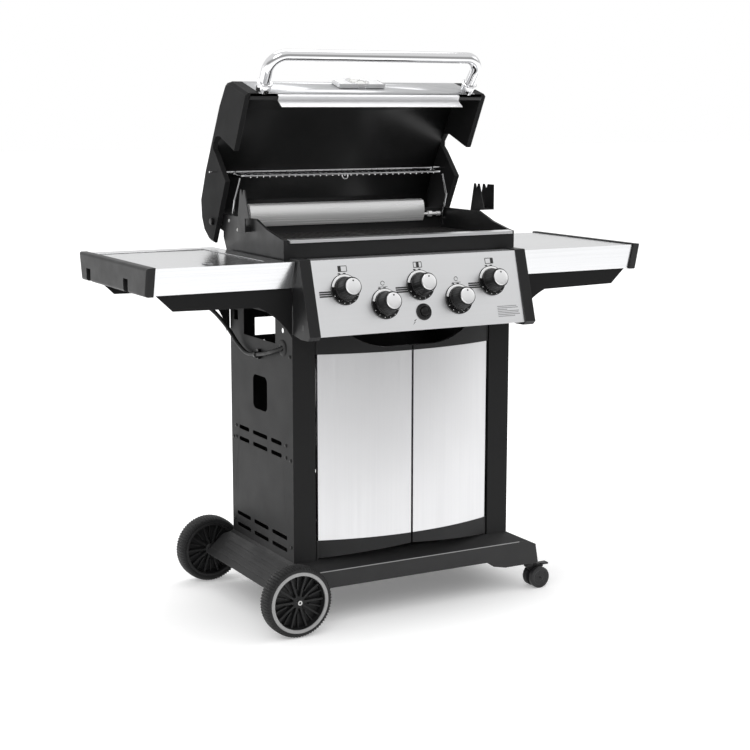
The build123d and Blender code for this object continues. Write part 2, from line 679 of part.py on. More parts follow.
DIAL_U, DIAL_V = -385.5, 74.0
with BuildPart() as lid_shell:
    with BuildSketch(lid_plane(-LID_SKIN)):
        with BuildLine():
            skin = FilletPolyline(*LID_TOP, radius=LID_RADII)
            offset(skin, amount=SHEET, side=Side.RIGHT)
        make_face()
    extrude(amount=2 * LID_SKIN)
    with BuildSketch(lid_face(DIAL_U, DIAL_V, lift=20)):
        Circle(5)
    extrude(amount=-90, mode=Mode.SUBTRACT)
save(lid_shell, "lid_shell")

LINER = [(-402, -7), (-391, -7), (-357, 103), (-285, 111), (-92, 102), (-4, 88), (28, 60)]
with BuildPart() as lid_liner:
    with BuildSketch(lid_plane(-CAP_IN)):
        with BuildLine():
            lining = FilletPolyline(*LINER, radius=[6, 26, 60, 110, 20])
            offset(lining, amount=SHEET, side=Side.RIGHT)
        make_face()
    extrude(amount=2 * CAP_IN)
    # heat shield that hangs from the front rim, inside the firebox when the lid is down
    with BuildSketch(lid_plane(0)):
        Polygon((-406.5, -5), (-405.5, -13), (-393.5, -14.5), (-392.5, -42), (-390.9, -42), (-391.9, -12.9),
                (-403.9, -11.4), (-404.9, -5), align=None)
    extrude(amount=273, both=True)
    with BuildSketch(lid_face(DIAL_U, DIAL_V, lift=20)):
        Circle(5)
    extrude(amount=-90, mode=Mode.SUBTRACT)
save(lid_liner, "lid_liner")

HANDLE_U, HANDLE_V = -405.0, 12.0
GRIP_U, GRIP_V = -515.0, 9.0
REACH = hypot(GRIP_U - HANDLE_U, GRIP_V - HANDLE_V)
c57, s57 = cos(radians(LID_OPEN)), sin(radians(LID_OPEN))
reach_u, reach_v = (GRIP_U - HANDLE_U) / REACH, (GRIP_V - HANDLE_V) / REACH
reach_dir = Vector(0, reach_u * c57 + reach_v * s57, -reach_u * s57 + reach_v * c57)
handle_origin = lid_plane(0).from_local_coords(Vector(HANDLE_U, HANDLE_V, 0))
handle_plane = Plane(origin=handle_origin, x_dir=(1, 0, 0), z_dir=Vector(1, 0, 0).cross(reach_dir))
HANDLE_R = 15.0
with BuildPart() as lid_handle:
    with BuildLine(handle_plane) as handle_line:
        FilletPolyline((-309, 9), (-316, REACH), (316, REACH), (309, 9), radius=56)
    with BuildSketch(Plane(origin=handle_line.line @ 0, z_dir=handle_line.line % 0)):
        Circle(HANDLE_R)
        Circle(HANDLE_R - 2, mode=Mode.SUBTRACT)
    sweep()
save(lid_handle, "lid_handle")

with BuildPart() as handle_boots:
    for end, side in ((0, -1), (1, 1)):
        root = handle_line.line @ end
        outward = (handle_line.line % end) * -side
        with BuildSketch(Plane(origin=root - outward * 16, z_dir=outward)):
            Circle(19)
        extrude(amount=38)
        with BuildSketch(Plane(origin=root + outward * 16, z_dir=outward)):
            Circle(21.5)
        extrude(amount=3)
        with BuildSketch(Plane(origin=root - outward * 1, z_dir=outward)):
            Circle(HANDLE_R + FIT)
        extrude(amount=30, mode=Mode.SUBTRACT)
        # foot cut flush with the lid's face
        with BuildSketch(lid_face(HANDLE_U, HANDLE_V, side * 309, 0.1)):
            Rectangle(90, 90)
        extrude(amount=-60, mode=Mode.SUBTRACT)
save(handle_boots, "handle_boots")

with BuildPart() as thermometer:
    with BuildSketch(lid_face(DIAL_U, DIAL_V, lift=0.2)):
        Circle(34)
    extrude(amount=12)
    with BuildSketch(lid_face(DIAL_U, DIAL_V, lift=0.2)):
        Circle(4)
    extrude(amount=-60)
save(thermometer, "thermometer")

# ---------------------------------------------------------------- warming rack
RACK_DEPTH = 104.0
with BuildPart() as warming_rack:
    with BuildSketch(side_plane(-384)):
        with Locations(RACK_R):
            Circle(3)
    extrude(amount=768)
    with BuildSketch(side_plane(-312)):
        with Locations(RACK_F):
            Circle(3)
        with Locations((RACK_F[0] + RACK_DEPTH, RACK_F[1])):
            Circle(2.5)
    extrude(amount=624)
    with Locations(at(0, RACK_F[0] + RACK_DEPTH / 2, RACK_F[1])):
        with GridLocations(19, 0, 29, 1):
            Cylinder(1.6, RACK_DEPTH + 2, rotation=(90, 0, 0))
        with GridLocations(620, 0, 2, 1):
            Cylinder(2.5, RACK_DEPTH + 4, rotation=(90, 0, 0))
    # short hangers between the pivot rod and the rack
    with Locations(at(0, RACK_R[0], (RACK_R[1] + RACK_F[1]) / 2)):
        with GridLocations(620, 0, 2, 1):
            Cylinder(2.5, RACK_R[1] - RACK_F[1])
save(warming_rack, "warming_rack")

with BuildPart() as rack_legs:
    for side in (-1, 1):
        leg_path = [Vector(side * 316, YC + RACK_F[0] + 1, RACK_F[1] - 6), Vector(side * 331, YC + 146, 1080),
                    Vector(side * 331, YC + LEG_P[0], LEG_P[1]),
                    Vector(side * (BOX_W - 8.5), YC + LEG_P[0] + 0.1, LEG_P[1])]
        for start, end in zip(leg_path, leg_path[1:]):
            with BuildSketch(Plane(origin=start, z_dir=end - start)):
                Circle(2.5)
            extrude(amount=(end - start).length)
        with Locations(*leg_path[1:3]):
            Sphere(2.5)
save(rack_legs, "rack_legs")

# ---------------------------------------------------------------- drip pan and the rails it slides on
with BuildPart() as pan_rails:
    for side in (-1, 1):
        with BuildSketch(front_plane(-105)):
            Polygon((side * 122, PANEL_TOP), (side * 122, 808.4), (side * 112, 808.4), (side * 112, 810.2),
                    (side * 120, 810.2), (side * 120, PANEL_TOP), align=None)
        extrude(amount=-250)
save(pan_rails, "pan_rails")

with BuildPart() as drip_pan:
    with Locations(at(0, 30, 800)):
        Box(220, 260, 22)
    with Locations(at(0, 30, 803)):
        Box(216, 256, 22, mode=Mode.SUBTRACT)
    with Locations(at(0, 30, 811.5)):
        Box(236, 260, 1.5)
    with Locations(at(0, 30, 805)):
        Box(216, 256, 30, mode=Mode.SUBTRACT)
    with Locations(at(0, 164, 806)):
        Box(120, 10, 3)
save(drip_pan, "drip_pan")

# ---------------------------------------------------------------- fasteners and the lid's hinge bolts
with BuildPart() as fasteners:
    for side in (-1, 1):
        with BuildSketch(side_plane(side * (BOX_W - 10))):
            with Locations((HINGE_Y, HINGE_Z)):
                Circle(6)
        extrude(amount=side * 36)
        for y, z in ((-180, 200), (-180, 430), (-180, 700), (176, 200), (176, 430), (176, 700)):
            with BuildSketch(side_plane(side * HALF_W)):
                with Locations((y, z)):
                    Circle(5)
            extrude(amount=side * 2.5)
save(fasteners, "fasteners")
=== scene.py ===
import json
from math import asin, cos, hypot, pi, radians, sin

import bmesh
import bpy
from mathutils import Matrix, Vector


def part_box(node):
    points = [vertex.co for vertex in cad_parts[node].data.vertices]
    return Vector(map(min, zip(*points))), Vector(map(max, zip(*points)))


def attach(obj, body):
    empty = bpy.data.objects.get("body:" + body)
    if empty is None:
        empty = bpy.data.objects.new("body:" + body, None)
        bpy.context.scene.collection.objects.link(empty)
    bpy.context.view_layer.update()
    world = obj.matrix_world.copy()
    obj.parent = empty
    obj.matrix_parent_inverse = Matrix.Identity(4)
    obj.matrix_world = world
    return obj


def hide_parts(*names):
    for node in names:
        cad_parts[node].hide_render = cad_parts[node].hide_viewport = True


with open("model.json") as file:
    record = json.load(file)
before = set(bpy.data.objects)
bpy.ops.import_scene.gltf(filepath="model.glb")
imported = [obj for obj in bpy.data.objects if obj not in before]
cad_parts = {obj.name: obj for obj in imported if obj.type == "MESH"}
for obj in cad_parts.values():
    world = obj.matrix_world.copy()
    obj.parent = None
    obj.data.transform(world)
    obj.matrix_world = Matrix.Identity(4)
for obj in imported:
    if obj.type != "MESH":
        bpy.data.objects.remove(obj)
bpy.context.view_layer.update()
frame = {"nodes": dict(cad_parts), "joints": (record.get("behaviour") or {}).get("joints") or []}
NODES = frame["nodes"]
JOINTS = {joint["name"]: joint for joint in frame["joints"]}

# -------------------------------- places, mm, taken from the frame
MM = 0.001
panel_low, panel_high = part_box("side_panel_left")
CABINET_Y = (panel_low.y + panel_high.y) / 2 / MM
HALF_W = -panel_low.x / MM
HINGE = Vector(JOINTS["lid_hinge"]["pos_m"])
LID_OPEN = JOINTS["lid_hinge"]["range_deg"][1]
LID_COS, LID_SIN = cos(radians(LID_OPEN)), sin(radians(LID_OPEN))
PANEL_OUT = Vector(JOINTS["knob_1_turn"]["axis"])
PANEL_TILT = asin(PANEL_OUT.z)
PANEL_TOP = Vector((0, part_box("panel_cheek_left")[0].y + 0.058, 0.950))
KNOBS = [Vector(JOINTS[f"knob_{i}_turn"]["pos_m"]) - PANEL_OUT * 6 * MM for i in range(1, 6)]
SIDES = (("left", -1), ("right", 1))


def at(x, y, z):
    """A point of the cabinet: x from the middle, y from the cabinet's centre, z from the ground."""
    return Vector((x, CABINET_Y + y, z)) * MM


def lid(x, u, v):
    """A point given on the closed lid, from its hinge, at its place on the open lid."""
    y = HINGE.y + (u * LID_COS + v * LID_SIN) * MM
    return Vector((x * MM, y, HINGE.z + (v * LID_COS - u * LID_SIN) * MM))


RIGHT = Vector((1, 0, 0))
BACKWARD = Vector((0, 1, 0))
UPWARD = Vector((0, 0, 1))
UP_PANEL = Vector((0, sin(PANEL_TILT), cos(PANEL_TILT)))
FACE_OUT = (lid(0, -124, 39) - lid(0, 0, 0)).normalized()
FACE_UP = (lid(0, 39, 124) - lid(0, 0, 0)).normalized()


# -------------------------------- materials
def link_noise(tree, scale, stretch=(1, 1, 1), detail=4.0, offset=0.0):
    """A noise value on object coordinates, stretched along a grain."""
    place = tree.nodes.new("ShaderNodeTexCoord")
    mapping = tree.nodes.new("ShaderNodeMapping")
    mapping.inputs["Scale"].default_value = stretch
    mapping.inputs["Location"].default_value = (offset, offset, offset)
    noise = tree.nodes.new("ShaderNodeTexNoise")
    noise.inputs["Scale"].default_value = scale
    noise.inputs["Detail"].default_value = detail
    tree.links.new(place.outputs["Object"], mapping.inputs["Vector"])
    tree.links.new(mapping.outputs["Vector"], noise.inputs["Vector"])
    return noise.outputs["Fac"]


def ranged(tree, value, low, high, start=0.0, end=1.0):
    """The value's start..end stretched to low..high."""
    node = tree.nodes.new("ShaderNodeMapRange")
    for name, number in (("From Min", start), ("From Max", end), ("To Min", low), ("To Max", high)):
        node.inputs[name].default_value = number
    tree.links.new(value, node.inputs["Value"])
    return node.outputs["Result"]


def mixed(tree, factor, first, second):
    """Colour first to second by factor; each is a colour or a socket."""
    node = tree.nodes.new("ShaderNodeMix")
    node.data_type = "RGBA"
    tree.links.new(factor, node.inputs["Factor"])
    for socket, value in ((node.inputs[6], first), (node.inputs[7], second)):
        if isinstance(value, bpy.types.NodeSocket):
            tree.links.new(value, socket)
        else:
            socket.default_value = (*value, 1)
    return node.outputs[2]


def edge_mask(tree, radius):
    """Near 1 on sharp edges, 0 on flats, broken up by noise."""
    bevel = tree.nodes.new("ShaderNodeBevel")
    bevel.samples = 4
    bevel.inputs["Radius"].default_value = radius
    shape = tree.nodes.new("ShaderNodeNewGeometry")
    dot = tree.nodes.new("ShaderNodeVectorMath")
    dot.operation = "DOT_PRODUCT"
    tree.links.new(bevel.outputs["Normal"], dot.inputs[0])
    tree.links.new(shape.outputs["Normal"], dot.inputs[1])
    edges = ranged(tree, dot.outputs["Value"], 0.0, 1.0, 0.992, 0.86)
    breaks = ranged(tree, link_noise(tree, 160, detail=6), 0.25, 1.0, 0.38, 0.62)
    product = tree.nodes.new("ShaderNodeMath")
    product.operation = "MULTIPLY"
    tree.links.new(edges, product.inputs[0])
    tree.links.new(breaks, product.inputs[1])
    return product.outputs["Value"]


def finish(name, colour, rough, metal=0.0, vary=0.12, cloud=9.0, grain=None, grain_mix=0.35, bump=0.05,
           bump_scale=900.0, bump_size=0.0003, wear=None, wear_colour=(0.3, 0.3, 0.3), coat=0.0, spread=0.08,
           shine=0.5):
    """A surface with clouded colour, uneven gloss, fine relief and, where asked, a grain and worn edges."""
    material = bpy.data.materials.new(name)
    material.use_nodes = True
    tree = material.node_tree
    shader = tree.nodes["Principled BSDF"]
    shader.inputs["Metallic"].default_value = metal
    shader.inputs["Specular IOR Level"].default_value = shine
    shader.inputs["Coat Weight"].default_value = coat
    shader.inputs["Coat Roughness"].default_value = 0.12
    dark = tuple(c * (1 - vary) for c in colour)
    light = tuple(min(1.0, c * (1 + vary)) for c in colour)
    clouds = ranged(tree, link_noise(tree, cloud), 0.0, 1.0, 0.3, 0.7)
    shade = mixed(tree, clouds, dark, light)
    relief = link_noise(tree, bump_scale, detail=2.0)
    gloss_from = link_noise(tree, cloud * 2.3, offset=3.1)
    if grain:
        lines = link_noise(tree, 1.0, grain, detail=3.0, offset=1.7)
        streaks = link_noise(tree, 1.0, tuple(g / 7 for g in grain), detail=2.0, offset=5.2)
        blend = ranged(tree, streaks, 0.0, grain_mix, 0.35, 0.65)
        shade = mixed(tree, blend, shade, tuple(c * 0.8 for c in colour))
        relief = lines
        gloss_from = streaks
    gloss = ranged(tree, gloss_from, max(0.02, rough - spread), rough + spread, 0.3, 0.7)
    if wear:
        mask = edge_mask(tree, wear)
        shade = mixed(tree, mask, shade, wear_colour)
    tree.links.new(shade, shader.inputs["Base Color"])
    tree.links.new(gloss, shader.inputs["Roughness"])
    bumps = tree.nodes.new("ShaderNodeBump")
    bumps.inputs["Strength"].default_value = bump
    bumps.inputs["Distance"].default_value = bump_size
    tree.links.new(relief, bumps.inputs["Height"])
    tree.links.new(bumps.outputs["Normal"], shader.inputs["Normal"])
    return material


GRAIN_X = (14, 1500, 1500)
GRAIN_Z = (1500, 1500, 14)
FINISHES = {
    "stainless": dict(
        colour=(0.84, 0.845, 0.855), rough=0.32, metal=1.0, vary=0.02, cloud=3.0, grain=GRAIN_X,
        grain_mix=0.05, bump=0.03, wear=0.0012, wear_colour=(0.86, 0.86, 0.87), spread=0.03),
    "lid_steel": dict(
        colour=(0.52, 0.525, 0.535), rough=0.33, metal=1.0, vary=0.03, cloud=3.0, grain=GRAIN_X,
        grain_mix=0.10, bump=0.05, wear=0.0012, wear_colour=(0.80, 0.80, 0.81), spread=0.03),
    "door_steel": dict(
        colour=(0.69, 0.69, 0.70), rough=0.34, metal=1.0, vary=0.03, cloud=3.0, grain=GRAIN_Z,
        grain_mix=0.08, bump=0.04, wear=0.0012, wear_colour=(0.92, 0.92, 0.93), spread=0.03),
    # near-white steel: its colour is a painted reflection of a studio light
    "painted_glare_steel": dict(
        colour=(0.97, 0.97, 0.97), rough=0.26, metal=0.4, vary=0.02, cloud=8.0, grain=GRAIN_X,
        grain_mix=0.06, bump=0.05, spread=0.04),
    "shield_steel": dict(
        colour=(0.74, 0.74, 0.75), rough=0.50, metal=0.85, vary=0.03, cloud=8.0, grain=GRAIN_X,
        grain_mix=0.06, bump=0.05, spread=0.04),
    "shelf_steel": dict(
        colour=(0.68, 0.685, 0.695), rough=0.20, metal=1.0, vary=0.03, cloud=3.0, grain=GRAIN_X,
        grain_mix=0.12, bump=0.08, wear=0.0012, wear_colour=(0.86, 0.86, 0.87), spread=0.03),
    "burner_steel": dict(
        colour=(0.62, 0.60, 0.57), rough=0.32, metal=1.0, vary=0.10, cloud=8.0, grain=GRAIN_X,
        grain_mix=0.25, bump=0.10),
    "chrome": dict(
        colour=(0.80, 0.80, 0.81), rough=0.07, metal=1.0, vary=0.02, cloud=5.0, bump=0.02, bump_scale=60,
        spread=0.02),
    "zinc": dict(
        colour=(0.58, 0.58, 0.57), rough=0.38, metal=1.0, vary=0.14, cloud=40.0, bump=0.08,
        bump_scale=300, wear=0.0008, wear_colour=(0.75, 0.75, 0.75)),
    "brass": dict(colour=(0.66, 0.50, 0.24), rough=0.30, metal=1.0, vary=0.12, cloud=30.0, bump=0.06),
    "powder": dict(
        colour=(0.0085, 0.0085, 0.0088), rough=0.46, vary=0.05, cloud=6.0, bump=0.18, bump_scale=1400,
        wear=0.0014, wear_colour=(0.05, 0.05, 0.05), spread=0.03, shine=0.17),
    "enamel": dict(
        colour=(0.014, 0.014, 0.0145), rough=0.36, vary=0.12, cloud=7.0, bump=0.08, bump_scale=420,
        wear=0.0016, wear_colour=(0.06, 0.06, 0.06), shine=0.35),
    "lid_black": dict(
        colour=(0.016, 0.016, 0.0165), rough=0.58, vary=0.10, cloud=7.0, bump=0.08, bump_scale=420,
        wear=0.0016, wear_colour=(0.07, 0.07, 0.07), spread=0.04, shine=0.08),
    "liner": dict(
        colour=(0.020, 0.020, 0.0205), rough=0.34, vary=0.15, cloud=6.0, bump=0.04, bump_scale=120,
        shine=0.22, spread=0.03),
    "cast": dict(
        colour=(0.022, 0.021, 0.020), rough=0.50, vary=0.20, cloud=40.0, bump=0.35, bump_scale=700,
        bump_size=0.0005, wear=0.0012, wear_colour=(0.08, 0.075, 0.07), shine=0.35),
    "moulded": dict(
        colour=(0.013, 0.013, 0.0135), rough=0.42, vary=0.06, cloud=10.0, bump=0.25, bump_scale=1800,
        wear=0.0016, wear_colour=(0.06, 0.06, 0.06), spread=0.04, shine=0.22),
    "tray": dict(
        colour=(0.018, 0.018, 0.0185), rough=0.46, vary=0.08, cloud=5.0, bump=0.30, bump_scale=1500,
        wear=0.0020, wear_colour=(0.08, 0.08, 0.08), shine=0.32),
    "tyre": dict(
        colour=(0.014, 0.014, 0.0145), rough=0.55, vary=0.14, cloud=30.0, bump=0.30, bump_scale=1100,
        wear=0.0010, wear_colour=(0.05, 0.05, 0.05), shine=0.25),
    "gloss_black": dict(
        colour=(0.006, 0.006, 0.0062), rough=0.30, vary=0.10, cloud=20.0, bump=0.06, shine=0.25),
    "knob_grey": dict(
        colour=(0.008, 0.008, 0.0082), rough=0.40, vary=0.10, cloud=30.0, bump=0.08, shine=0.22),
    "knob_silver": dict(
        colour=(0.93, 0.93, 0.935), rough=0.38, metal=1.0, vary=0.03, cloud=20.0, grain=(900, 30, 900),
        grain_mix=0.05, bump=0.04),
    "ring_grey": dict(colour=(0.30, 0.30, 0.30), rough=0.38, vary=0.06, cloud=30.0, bump=0.12),
    "caster_grey": dict(
        colour=(0.022, 0.022, 0.023), rough=0.42, vary=0.10, cloud=40.0, bump=0.20, wear=0.0008,
        wear_colour=(0.10, 0.10, 0.10), shine=0.3),
    "rubber": dict(
        colour=(0.012, 0.012, 0.012), rough=0.48, vary=0.12, cloud=25.0, bump=0.20, bump_scale=600,
        shine=0.3),
    "ink": dict(colour=(0.020, 0.020, 0.020), rough=0.45, vary=0.10, cloud=60.0, bump=0.05),
    "ink_grey": dict(colour=(0.26, 0.26, 0.27), rough=0.45, vary=0.10, cloud=60.0, bump=0.05),
    "white_mark": dict(colour=(0.80, 0.80, 0.80), rough=0.40, vary=0.04, cloud=60.0, bump=0.05),
    "dial_face": dict(colour=(0.75, 0.75, 0.73), rough=0.35, vary=0.04, cloud=20.0, bump=0.05, coat=0.8),
}
MATERIALS = {name: finish(name, **settings) for name, settings in FINISHES.items()}


# -------------------------------- CAD nodes that stay: finish and rounded edges
# the angles in degrees from which an edge shades sharp, and from which it is rounded
SHARP_ON_CAD, SHARP_ON_PIECE, BEVEL_FROM = 32, 35, 34


def round_edges(piece, width):
    """Rounds the piece's sharp edges by the width in mm."""
    bevel = piece.modifiers.new("edges", "BEVEL")
    bevel.width = width * MM
    bevel.segments = 2
    bevel.limit_method = "ANGLE"
    bevel.angle_limit = radians(BEVEL_FROM)
    bevel.use_clamp_overlap = True
    piece.modifiers.new("normals", "WEIGHTED_NORMAL")


def dress(node, material, edge=0.0):
    """Gives a CAD node its finish and, with an edge in mm, rounded edges."""
    piece = NODES[node]
    mesh = piece.data
    mesh.materials.clear()
    mesh.materials.append(MATERIALS[material])
    if "custom_normal" in mesh.attributes:
        mesh.attributes.remove(mesh.attributes["custom_normal"])
    mesh.shade_smooth()
    mesh.set_sharp_from_angle(angle=radians(SHARP_ON_CAD))
    weld = piece.modifiers.new("weld", "WELD")
    weld.merge_threshold = 1e-5
    if edge:
        round_edges(piece, edge)


DRESSED = (
    ("tray", 2.5, "base_tray"),
    ("powder", 0.5, "side_panel_left", "side_panel_right", "rear_panel", "shelf_brackets"),
    ("powder", 0.7, "front_frame"),
    ("enamel", 1.2, "firebox", "rotisserie_bracket_left", "rotisserie_bracket_right"),
    ("lid_black", 5.0, "lid_cap_left", "lid_cap_right"),
    ("liner", 0.0, "lid_liner"),
    ("lid_steel", 0.0, "lid_shell"),
    ("stainless", 0.6, "firebox_trim", "control_panel"),
    # the rear burner's near-white colour is a painted reflection of a studio light
    ("painted_glare_steel", 0.6, "rear_burner"),
    ("door_steel", 0.6, "door_panel_left", "door_panel_right"),
    ("shelf_steel", 1.0, "shelf_left", "shelf_right", "side_burner_lid"),
    ("cast", 1.0, "cooking_grids", "side_burner_grate"),
    ("burner_steel", 0.0, "heat_tents", "main_burners"),
    ("moulded", 2.0, "panel_cheek_left", "panel_cheek_right", "door_trim_left", "door_trim_right"),
    ("moulded", 4.5, "shelf_cap_left", "shelf_cap_right"),
    ("moulded", 1.2, "caster_front_housing", "caster_rear_housing"),
    ("enamel", 0.8, "side_burner_bowl"),
    ("brass", 0.0, "gas_manifold", "side_burner_head"),
    ("rubber", 0.0, "side_burner_hose"),
    ("gloss_black", 0.4, "hose_clip"),
    ("zinc", 0.4, "axle", "pan_rails", "drip_pan"),
)
for material, edge, *names in DRESSED:
    for node in names:
        dress(node, material, edge)


# -------------------------------- makers of new pieces
def piece_of(name, mesh, body, material, replaces=(), edge=0.0):
    """An object of the mesh, on its body, with its finish."""
    mesh.shade_smooth()
    mesh.set_sharp_from_angle(angle=radians(SHARP_ON_PIECE))
    mesh.materials.append(MATERIALS[material])
    piece = bpy.data.objects.new(name, mesh)
    bpy.context.scene.collection.objects.link(piece)
    if edge:
        round_edges(piece, edge)
    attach(piece, body)
    if replaces:
        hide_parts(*replaces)
    return piece


def side_axes(axis):
    """Two unit vectors square to the axis, the second one as near upward as can be."""
    up = Vector((0, 0, 1)) if abs(axis.z) < 0.9 else Vector((0, 1, 0))
    first = up.cross(axis).normalized()
    return first, axis.cross(first).normalized()


def turned(form, profile, centre, axis, steps=64, closed=False, wave=None):
    """Adds a turned shape to the bmesh: profile points are (radius, height) in mm."""
    first, second = side_axes(axis)
    rings = []
    for k in range(steps):
        angle = 2 * pi * k / steps
        out = first * cos(angle) + second * sin(angle)
        ring = []
        for radius, height in profile:
            r = radius + (wave(k, radius, height) if wave else 0.0)
            ring.append(form.verts.new(centre + (out * r + axis * height) * MM))
        rings.append(ring)
    count = len(profile)
    for k in range(steps):
        here, there = rings[k], rings[(k + 1) % steps]
        for i in range(count if closed else count - 1):
            j = (i + 1) % count
            form.faces.new((here[i], there[i], there[j], here[j]))


def closed_mesh(form, name):
    """The bmesh as a mesh with merged points and outward normals."""
    bmesh.ops.remove_doubles(form, verts=form.verts, dist=1e-6)
    bmesh.ops.dissolve_degenerate(form, edges=form.edges, dist=1e-7)
    bmesh.ops.recalc_face_normals(form, faces=form.faces)
    mesh = bpy.data.meshes.new(name)
    form.to_mesh(mesh)
    form.free()
    return mesh


def lathe(name, shapes, body, material, replaces=(), steps=64, closed=False, wave=None, edge=0.0):
    """A piece of one or more turned shapes: (profile, centre, axis) each."""
    form = bmesh.new()
    for profile, centre, axis in shapes:
        turned(form, profile, centre, axis, steps, closed, wave)
    return piece_of(name, closed_mesh(form, name), body, material, replaces, edge)


def slab(form, outline, origin, across, along, depth):
    """Adds a flat plate: outline points in mm in the plane of across and along, grown by depth."""
    normal = across.cross(along).normalized()
    low = [form.verts.new(origin + (across * p + along * q) * MM) for p, q in outline]
    high = [form.verts.new(v.co + normal * depth * MM) for v in low]
    form.faces.new(low)
    form.faces.new(high)
    for i in range(len(low)):
        j = (i + 1) % len(low)
        form.faces.new((low[i], low[j], high[j], high[i]))


def plates(name, slabs, body, material, replaces=(), edge=0.0):
    """A piece of one or more flat plates: (outline, origin, across, along, depth) each."""
    form = bmesh.new()
    for one in slabs:
        slab(form, *one)
    return piece_of(name, closed_mesh(form, name), body, material, replaces, edge)


def rounded(points, radius, steps=8):
    """The path with its corners as arcs of the radius in mm."""
    path = [points[0]]
    for before, corner, after in zip(points, points[1:], points[2:]):
        back, ahead = (before - corner).normalized(), (after - corner).normalized()
        half = back.angle(ahead) / 2
        room = 0.48 * min((before - corner).length, (after - corner).length)
        reach = min(radius * MM * cos(half) / sin(half), room)
        r = reach * sin(half) / cos(half)
        centre = corner + (back + ahead).normalized() * r / sin(half)
        start, end = corner + back * reach - centre, corner + ahead * reach - centre
        for k in range(steps + 1):
            turn = start.angle(end)
            t = k / steps
            path.append(centre + (start * sin((1 - t) * turn) + end * sin(t * turn)) / sin(turn))
    path.append(points[-1])
    return path


def rods(name, paths, radius, body, material, replaces=(), sides=4):
    """Round bars along the paths, as one curve."""
    curve = bpy.data.curves.new(name, "CURVE")
    curve.dimensions = "3D"
    curve.bevel_depth = radius * MM
    curve.bevel_resolution = sides
    curve.use_fill_caps = True
    for path in paths:
        line = curve.splines.new("POLY")
        line.points.add(len(path) - 1)
        for point, co in zip(line.points, path):
            point.co = (*co, 1)
        line.use_smooth = True
    curve.materials.append(MATERIALS[material])
    piece = bpy.data.objects.new(name, curve)
    bpy.context.scene.collection.objects.link(piece)
    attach(piece, body)
    if replaces:
        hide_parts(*replaces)
    return piece


def arc_band(inner, outer, start, end, steps=10):
    """Outline of part of a ring, angles in degrees from the right, anticlockwise."""
    angles = [radians(start + (end - start) * k / steps) for k in range(steps + 1)]
    ahead = [(outer * cos(a), outer * sin(a)) for a in angles]
    back = [(inner * cos(a), inner * sin(a)) for a in reversed(angles)]
    return ahead + back


def rectangle(width, height, x=0.0, y=0.0):
    """Outline of a rectangle round the point x, y."""
    left, right = x - width / 2, x + width / 2
    low, high = y - height / 2, y + height / 2
    return [(left, low), (right, low), (right, high), (left, high)]


# -------------------------------- big wheels
# profiles are (radius, height along the axis) in mm
TREAD = [(77, -23.5), (82.4, -25.6), (87.4, -24.4), (90.8, -20), (92.1, -12), (92.3, 0), (92.1, 12),
         (90.8, 20), (87.4, 24.4), (82.4, 25.6), (77, 23.5)]
RIM = [(76.9, -23.5), (76.9, 23.5), (73, 24.9), (70.5, 24), (69, 19), (67, 6), (67, -6), (69, -19),
       (70.5, -24), (73, -24.9)]
BAND = [(70.2, 23.9), (71, 25.6), (78.4, 25.8), (79.6, 24.5), (79.6, 22.5), (70.2, 22.5)]
WEB = [(0, -4), (20, -4.5), (44, -3.5), (68, -3), (68, 3), (44, 3.5), (20, 4.5), (0, 4)]
BOSS = [(0, 20), (9, 20), (13.5, 19), (16, 16.5), (17.5, 3), (17.5, -3), (16, -16.5), (13.5, -19),
        (9, -20), (0, -20)]
BOLT = [(0, 24.3), (3, 24.1), (5.6, 22.4), (6.3, 20.4), (6.3, 19), (0, 19)]
SPOKES = 20
TREAD_STEPS = 288


def lugs(k, radius, height):
    """Tread: every other pair of steps is cut back at the shoulders, less across the middle."""
    sidewall = radius < 86.5
    if sidewall or k % 4 < 2:
        return 0.0
    shoulder = abs(height) > 9
    return -2.4 if shoulder else -1.2


def wheel_ribs(centre, out):
    """Ribs on both faces of a wheel's web: a long tall one, then a short low one."""
    first, second = side_axes(out)
    ribs = []
    for k in range(SPOKES):
        spoke = 2 * pi * k / SPOKES
        across = first * cos(spoke) + second * sin(spoke)
        inner, tall, end, width = (14, 17, 17, 5.0) if k % 2 == 0 else (32, 11, 12, 3.2)
        outline = [(inner, 2), (inner, tall), (42, 0.8 * tall + 1), (68, end), (68, 2)]
        for along in (out, -out):
            shift = across.cross(along).normalized() * width / 2 * MM
            ribs.append((outline, centre - shift, across, along, width))
    return ribs


for where, side in (("front", -1), ("rear", 1)):
    body = f"wheel_{where}"
    out = Vector((0, side, 0))
    centre = Vector(JOINTS[f"wheel_{where}_spin"]["pos_m"])
    lathe(f"{body}_tread", [(TREAD, centre, out)], body, "tyre", [f"{body}_tyre"], TREAD_STEPS, True, lugs)
    lathe(f"{body}_rim", [(RIM, centre, out)], body, "moulded", [f"{body}_hub"], 96, True)
    lathe(f"{body}_band", [(BAND, centre, out)], body, "ring_grey", (), 96, True)
    lathe(f"{body}_boss", [(WEB, centre, out), (BOSS, centre, out)], body, "moulded", (), 64)
    lathe(f"{body}_bolt", [(BOLT, centre, out), (BOLT, centre, -out)], body, "caster_grey", (), 24)
    plates(f"{body}_ribs", wheel_ribs(centre, out), body, "moulded", (), 0.6)

